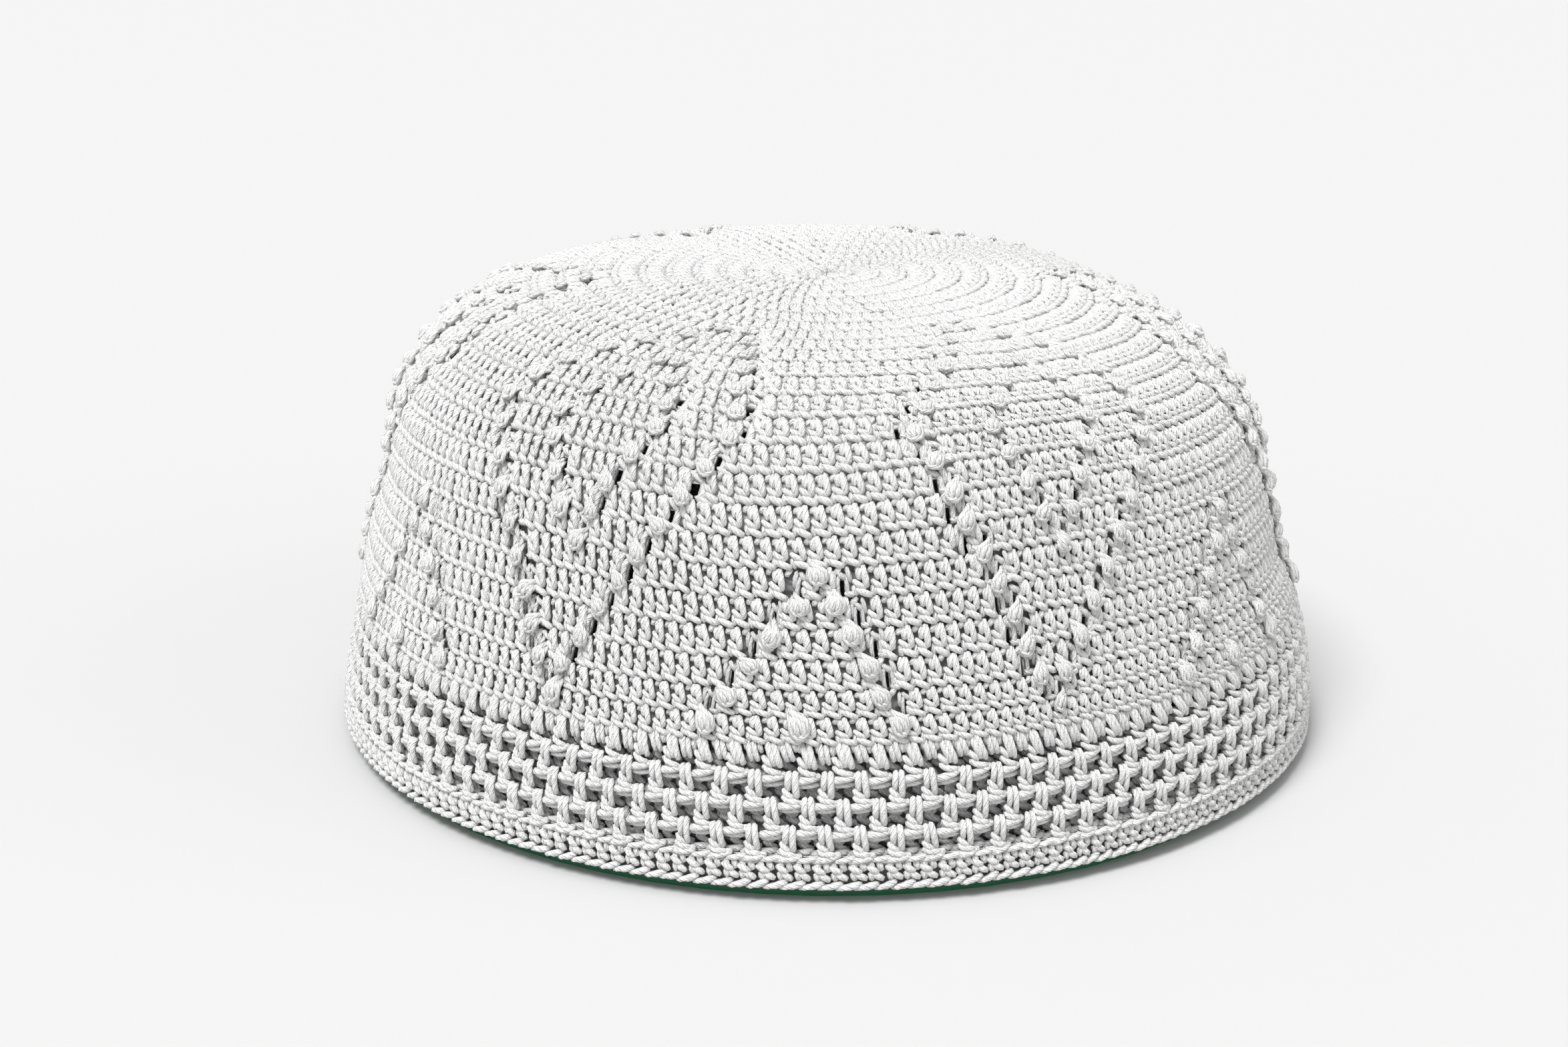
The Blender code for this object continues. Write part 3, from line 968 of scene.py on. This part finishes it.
def shaded():
    """Cotton in painted shade under the stitches: dark on the wall, pale on the crown, which more light
    reaches.
    """
    yarn = yarn_settings()
    return material_once("cotton_shaded", lining_material, yarn.shade, yarn.pale_shade)


def crochet_wall(groups, core_name, sides, seed, node):
    """Pieces for groups of rounds, each a name, a first and a last round, and the layer behind them all."""
    random = np.random.default_rng(seed)
    for name, first, last in groups:
        make_piece(name, crochet_rounds(first, last, sides, random), [cotton()], node)
    make_piece(core_name, core(groups[0][1], groups[-1][2]), [lining(), shaded()], node)


class KUFI_OT_crown(bpy.types.Operator):
    """Crochets the crown: its growing rounds up to the centre, and the layer behind them"""

    bl_idname = "kufi.crown"
    bl_label = "Crown"

    def execute(self, context):
        rim = WALL_ROUNDS + CROWN_RIM_ROUNDS
        groups = (("crown_rim", WALL_ROUNDS + 1, rim), ("crown_middle", rim + 1, ROUNDS))
        crochet_wall(groups, "crown_core", FEW_SIDES, SEED, "crown")
        return {"FINISHED"}


class KUFI_OT_side_wall(bpy.types.Operator):
    """Crochets the side wall: straight rounds between the net and the crown"""

    bl_idname = "kufi.side_wall"
    bl_label = "Side wall"

    def execute(self, context):
        half = WALL_ROUNDS // 2
        groups = (("wall_lower", 1, half), ("wall_upper", half + 1, WALL_ROUNDS))
        crochet_wall(groups, "wall_core", yarn_settings().sides, SEED + 1, "side_wall")
        return {"FINISHED"}


class KUFI_OT_bobbles(bpy.types.Operator):
    """Winds the bobbles that draw the leaves and the tents"""

    bl_idname = "kufi.bobbles"
    bl_label = "Bobbles"

    def execute(self, context):
        random = np.random.default_rng(SEED + 2)
        template = bobble_template(FEW_SIDES, yarn_settings().radius)
        low, high = range(1, WALL_ROUNDS + 1), range(WALL_ROUNDS + 1, ROUNDS + 1)
        for name, rows, node in (("wall_bobbles", low, "side_wall"), ("crown_bobbles", high, "crown")):
            make_piece(name, bobbles_in(rows, template, random), [cotton()], node)
        return {"FINISHED"}


class KUFI_OT_openwork_band(bpy.types.Operator):
    """Crochets the net: posts hang over chain bars, half a step on from round to round"""

    bl_idname = "kufi.openwork_band"
    bl_label = "Openwork band"

    def execute(self, context):
        random = np.random.default_rng(SEED + 3)
        yarn = yarn_settings().radius * NET_YARN
        posts = WALL_STITCHES // 2
        shapes = []
        for table, bar, phase, sides, lift, along in NET_ROUNDS:
            low, high = NET_BARS[bar:bar + 2]
            cell, shifts = (NET_STEP, high - low), (NET_SHIFT, along)
            shapes.append(plain_round(
                table, cell, sides, yarn, posts, phase + NET_PHASE, low, lift, shifts, random))
        make_piece("net", join(shapes), [cotton()], "openwork_band")
        return {"FINISHED"}


class KUFI_OT_inner_band(bpy.types.Operator):
    """Crochets the plain layer that shows behind the net's holes"""

    bl_idname = "kufi.inner_band"
    bl_label = "Inner band"

    def execute(self, context):
        random = np.random.default_rng(SEED + 4)
        yarn = yarn_settings().radius
        depth = WALL + CLEARANCE
        low, high = HEM_ARC + CLEARANCE, NET_ARC - CLEARANCE
        cell = (STITCH[0], (high - low) / INNER_ROUNDS)
        shapes = [
            plain_round(INNER_STITCH, cell, FEW_SIDES, yarn, WALL_STITCHES, INNER_DRIFT * row,
                        low + row * cell[1], -depth, INNER_SHIFTS, random)
            for row in range(INNER_ROUNDS)]
        make_piece("inner_stitches", join(shapes), [cotton_behind()], "inner_band")
        arcs = np.linspace(low, high, 2 * INNER_ROUNDS + 1)
        inner = -depth - INNER_WALL + INNER_RIDGE * (np.arange(len(arcs)) % 2 == 0)
        back = shell(WALL_STITCHES // 2, arcs, np.full(len(arcs), -depth - INNER_FACE), inner)
        make_piece("inner_core", back, [lining(), shaded()], "inner_band")
        return {"FINISHED"}


class KUFI_OT_hem(bpy.types.Operator):
    """Crochets the edging: a chain line, a short round and the edge chain"""

    bl_idname = "kufi.hem"
    bl_label = "Hem"

    def execute(self, context):
        random = np.random.default_rng(SEED + 5)
        yarn = yarn_settings().radius
        stitches, joint = [], []
        for shapes, rounds in ((stitches, HEM_ROUNDS), (joint, HEM_JOINT)):
            for table, arc, height, phase, lift, thickness in rounds:
                shapes.append(plain_round(
                    table, (HEM_STITCH, height), HEM_SIDES, thickness * yarn, WALL_STITCHES, phase, arc, lift,
                    HEM_SHIFTS, random))
        make_piece("hem_stitches", join(stitches), [cotton()], "hem")
        make_piece("hem_joint", join(joint), [cotton_behind()], "hem")
        back = shell(WALL_STITCHES // 2, HEM_CORE_ARCS, np.full(3, -HEM_FACE), np.full(3, -WALL))
        make_piece("hem_core", back, [lining(), shaded()], "hem")
        return {"FINISHED"}


class KUFI_OT_stiffener(bpy.types.Operator):
    """Finishes the green ring inside the hem"""

    bl_idname = "kufi.stiffener"
    bl_label = "Ring"

    def execute(self, context):
        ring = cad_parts["stiffener"]
        ring.data.materials.clear()
        ring.data.materials.append(material_once("green_ring", ring_material, yarn_settings().ring_colour))
        return {"FINISHED"}


def soft_sun(name, azimuth, elevation, spread, strength):
    """An even light from one side of the sky, as soft as its spread is wide."""
    light = bpy.data.lights.new(name, "SUN")
    light.angle = spread
    light.energy = strength
    lamp = bpy.data.objects.new(name, light)
    lamp.matrix_world = Matrix.Rotation(azimuth, 4, "Z") @ Matrix.Rotation(math.pi / 2 - elevation, 4, "X")
    bpy.context.scene.collection.objects.link(lamp)
    return lamp


class KUFI_OT_stage(bpy.types.Operator):
    """Sets the pale floor, the soft lights and the camera"""

    bl_idname = "kufi.stage"
    bl_label = "Stage"

    def execute(self, context):
        stage = context.scene.kufi_stage
        corners = [(x * FLOOR_HALF, y * FLOOR_HALF, 0) for x, y in ((-1, -1), (1, -1), (1, 1), (-1, 1))]
        mesh = bpy.data.meshes.new("floor")
        mesh.from_pydata(corners, [], [(0, 1, 2, 3)])
        floor = bpy.data.objects.new("floor", mesh)
        context.scene.collection.objects.link(floor)
        surface = Surface("pale_floor")
        surface.feed(surface.shader.inputs["Base Color"], opaque(stage.floor_colour))
        surface.feed(surface.shader.inputs["Roughness"], 0.9)
        mesh.materials.append(surface.material)

        world = bpy.data.worlds.new("soft_sky")
        world.use_nodes = True
        background = world.node_tree.nodes["Background"]
        background.inputs["Color"].default_value = (1.0, 1.0, 1.0, 1.0)
        background.inputs["Strength"].default_value = stage.sky
        context.scene.world = world
        soft_sun("key", stage.key_turn, stage.key_rise, stage.key_spread, stage.key_strength)
        soft_sun("top", stage.key_turn, math.pi / 2, 2 * stage.key_spread, stage.top_strength)
        soft_sun("fill", stage.fill_turn, stage.fill_rise, 2 * stage.key_spread, stage.fill_strength)

        camera = bpy.data.objects.new("camera", bpy.data.cameras.new("camera"))
        camera.data.lens = stage.lens
        camera.data.sensor_width = 36.0
        camera.data.clip_start = 0.01
        place = (0.0, -stage.distance * math.cos(stage.elevation),
                 AIM_HEIGHT + stage.distance * math.sin(stage.elevation))
        camera.matrix_world = (
            Matrix.Translation(place) @ Matrix.Rotation(stage.pan, 4, "Z")
            @ Matrix.Rotation(math.pi / 2 - stage.tilt, 4, "X") @ Matrix.Rotation(stage.roll, 4, "Z"))
        context.scene.collection.objects.link(camera)
        context.scene.camera = camera
        context.scene.view_settings.view_transform = "Standard"
        return {"FINISHED"}


class KUFI_PT_panel(bpy.types.Panel):
    """Buttons and settings of the cap"""

    bl_idname = "KUFI_PT_panel"
    bl_label = "Crocheted kufi"
    bl_space_type = "VIEW_3D"
    bl_region_type = "UI"
    bl_category = "Kufi"

    def draw(self, context):
        for group in (context.scene.kufi_yarn, context.scene.kufi_stage):
            for name in group.bl_rna.properties.keys():
                if name not in ("name", "rna_type"):
                    self.layout.prop(group, name)
        for operator in OPERATORS:
            self.layout.operator(operator.bl_idname)


OPERATORS = (
    KUFI_OT_stage, KUFI_OT_crown, KUFI_OT_side_wall, KUFI_OT_bobbles, KUFI_OT_openwork_band,
    KUFI_OT_inner_band, KUFI_OT_hem, KUFI_OT_stiffener,
)
CLASSES = (KufiYarn, KufiStage) + OPERATORS + (KUFI_PT_panel,)


def register():
    """Registers the classes and their settings."""
    for item in CLASSES:
        bpy.utils.register_class(item)
    bpy.types.Scene.kufi_yarn = PointerProperty(type=KufiYarn)
    bpy.types.Scene.kufi_stage = PointerProperty(type=KufiStage)


def unregister():
    """Takes the classes and their settings away again."""
    del bpy.types.Scene.kufi_stage
    del bpy.types.Scene.kufi_yarn
    for item in reversed(CLASSES):
        bpy.utils.unregister_class(item)


def main():
    """Runs every operator in order."""
    register()
    for operator in OPERATORS:
        getattr(bpy.ops.kufi, operator.bl_idname.split(".")[1])()


if __name__ == "__main__":
    main()
